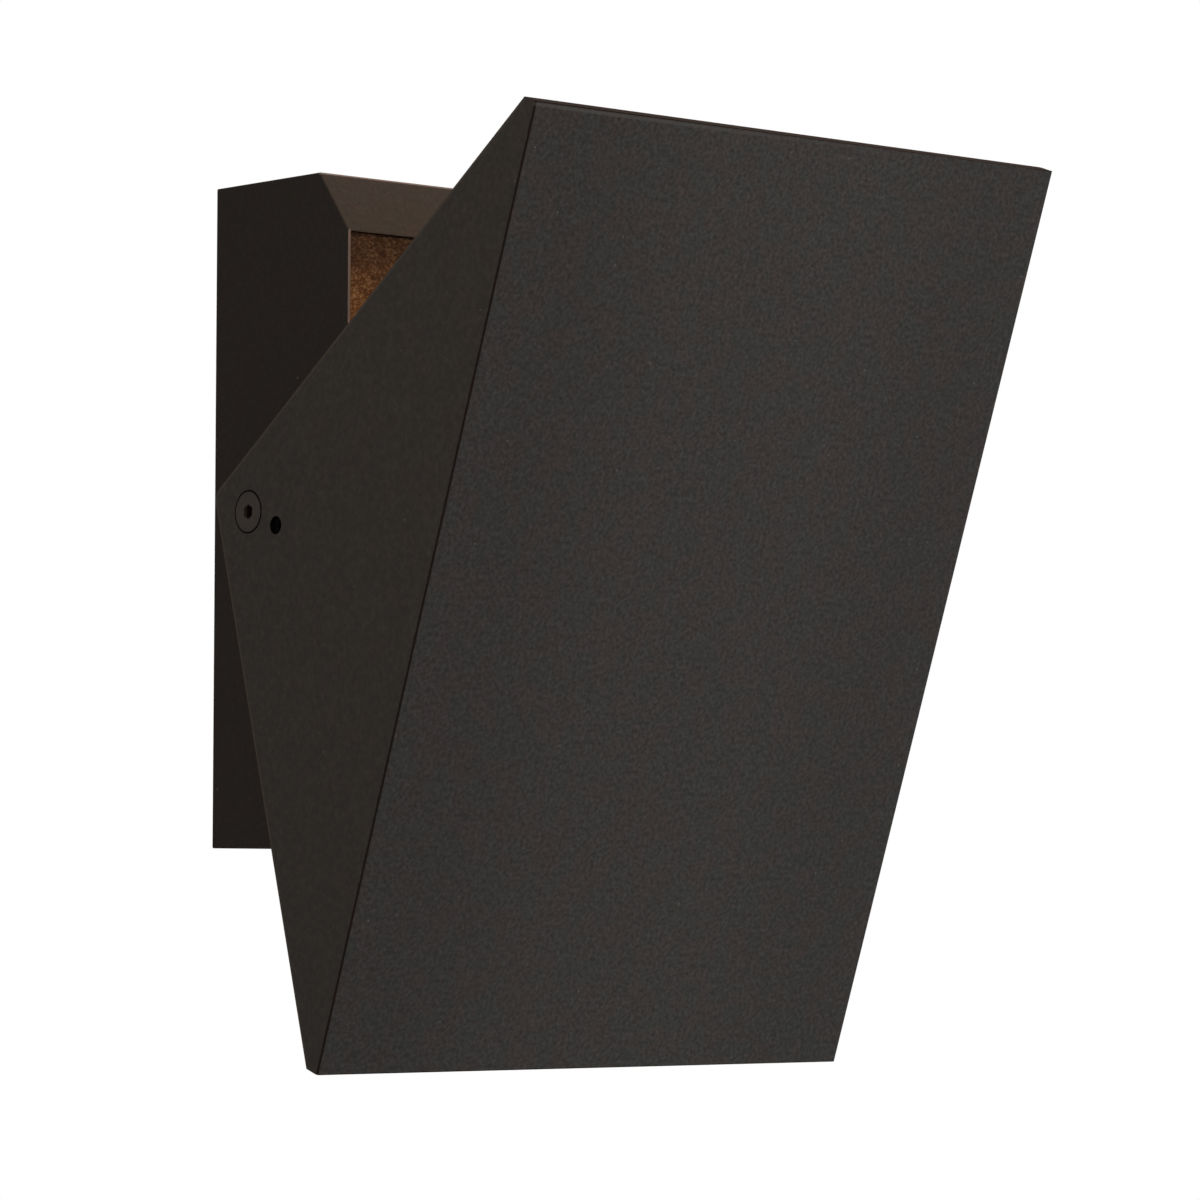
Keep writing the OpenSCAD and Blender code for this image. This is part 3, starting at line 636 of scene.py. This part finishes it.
# Painted highlight along the slanted rear edges.
rear = mask(tree, line, Distance=apart(tree, to_rear, to_side), Reach=rear_reach)

# Painted shade: the walls of the two holes in each side plate, for the pivot and lock screws, are
# black.
lock_ahead, pivot_bore, lock_bore = 0.0088, 0.0045, 0.002
in_pivot = under(tree, apart(tree, y, z), pivot_bore)
in_lock = under(tree, apart(tree, figure(tree, "ADD", y, lock_ahead), z), lock_bore)
hole_shade = both(tree, either(tree, in_pivot, in_lock), over(tree, to_side, at_side))

specks = mask(tree, dust, Place=on_shield, Spacing=0.006, Size=speck_size)
feed(shader, {
    "Base Color": layered(
        tree, dimmed(tree, look["Base Color"], fold_shaded),
        (fold_shade, (0.013, 0.009, 0.008, 1)),
        (top_highlight, (0.085, 0.082, 0.074, 1)),
        (cut, (0.014, 0.008, 0.006, 1)),
        (figure(tree, "MULTIPLY", rear, rear_share), (0.068, 0.058, 0.050, 1)),
        (hole_shade, (0.002, 0.002, 0.002, 1)),
        (specks, (0.09, 0.085, 0.077, 1)),
    ),
    "Specular IOR Level": 0.04,
})

# Lock screws: black socket set screws in the tapped holes beside the pivots. Their colour is
# darker
# than black oxide: painted shade, as they sit deep in their holes. Nipped up against the washers,
# they hold the shield at its angle.
tree, shader, place = finish("lock_black", "lock_screws")
cover(tree, shader, metal, {
    "Place": place, "Metal": (0.003, 0.003, 0.003, 1), "Stain": (0.0015, 0.0015, 0.0015, 1),
    "Grains": 4200.0, "Dullness": 0.5,
})
feed(shader, {"Specular IOR Level": 0.04})

# Studio: the light hangs 1.5 m above a pale floor, as it would on its wall, among five soft
# lamps. The floor and the surround look pale to the camera and in reflections only, so that
# they throw little light on the object.


def seen_rays(tree):
    """1 for camera, mirrored and transmitted rays, 0 for the rays that light the object."""
    ray = put(tree, "ShaderNodeLightPath").outputs
    shown = either(tree, ray["Is Camera Ray"], ray["Is Glossy Ray"])
    return either(tree, shown, ray["Is Transmission Ray"])


floor_radius, floor_height, floor_sides = 6.0, -1.5, 96
angle = np.linspace(0, 2 * np.pi, floor_sides, endpoint=False)
floor_rim = np.stack(
    [floor_radius * np.cos(angle), floor_radius * np.sin(angle), angle * 0 + floor_height], axis=-1
)
floor_mesh = bpy.data.meshes.new("floor")
floor_mesh.from_pydata(floor_rim.tolist(), [], [list(range(floor_sides))])
floor = bpy.data.objects.new("floor", floor_mesh)
bpy.context.scene.collection.objects.link(floor)
tree, shader, place = finish("floor_paint", floor)
scuffs = noise(tree, place, rate=3.0)
scuffed = tint(tree, scuffs, (0.69, 0.69, 0.68, 1), (0.65, 0.65, 0.64, 1))
feed(shader, {
    "Base Color": scuffed, "Roughness": 0.8, "Specular IOR Level": 0.0,
    "Emission Color": scuffed, "Emission Strength": seen_rays(tree),
})

# Each lamp's place, power, colour and width. All face the middle of the object.
lamps = {
    "front_lamp": ((0.45, -0.75, 0.25), 3.5, (0.46, 0.63, 0.97), 0.4),
    "left_lamp": ((-0.75, -0.45, 0.15), 3.4, (1.0, 0.83, 0.70), 0.4),
    "top_lamp": ((0.15, -0.35, 0.40), 2.7, (1.0, 0.81, 0.56), 0.2),
    "low_lamp": ((0.25, -0.25, -0.32), 0.85, (1.0, 0.98, 0.86), 0.2),
    "back_lamp": ((0.30, 0.75, 0.35), 6.0, (1.0, 1.0, 1.0), 0.4),
}
for name, (spot, power, colour, width) in lamps.items():
    lamp = bpy.data.lights.new(name, "AREA")
    lamp.energy, lamp.color, lamp.size = power, colour, width
    holder = bpy.data.objects.new(name, lamp)
    holder.location = spot
    holder.rotation_euler = (-Vector(spot)).to_track_quat("-Z", "Y").to_euler()
    holder.visible_camera = holder.visible_glossy = False
    bpy.context.scene.collection.objects.link(holder)

room_white, room_light, seen_light = (1, 1, 1, 1), 0.2, 1.0
surround = bpy.data.worlds.new("surround")
surround.use_nodes = True
bpy.context.scene.world = surround
tree = surround.node_tree
soft = tree.nodes["Background"]
feed(soft.inputs, {"Color": room_white, "Strength": room_light})
seen = put(tree, "ShaderNodeBackground", {"Color": room_white, "Strength": seen_light})
feeds = {0: seen_rays(tree), 1: soft.outputs[0], 2: seen.outputs[0]}
mixed = put(tree, "ShaderNodeMixShader", feeds)
feed(tree.nodes["World Output"].inputs, {"Surface": mixed.outputs[0]})
bpy.context.scene.view_settings.view_transform = "Standard"

# Camera: about a metre away, in front and to the left, a little below the middle and looking
# slightly up, through a long lens, as the photograph was taken.
camera_at = (-0.64742, -0.77328, -0.07011)
heading, upward, roll = math.radians(-41.469), math.radians(3.2427), math.radians(0.1878)
camera_lens = bpy.data.cameras.new("camera")
camera_lens.sensor_width, camera_lens.lens = 36.0, 155.205
camera_lens.clip_start, camera_lens.clip_end = 0.01, 50.0
camera = bpy.data.objects.new("camera", camera_lens)
camera.matrix_world = (
    Matrix.Translation(camera_at)
    @ Matrix.Rotation(heading, 4, "Z")
    @ Matrix.Rotation(math.pi / 2 + upward, 4, "X")
    @ Matrix.Rotation(roll, 4, "Z")
)
bpy.context.scene.collection.objects.link(camera)
bpy.context.scene.camera = camera
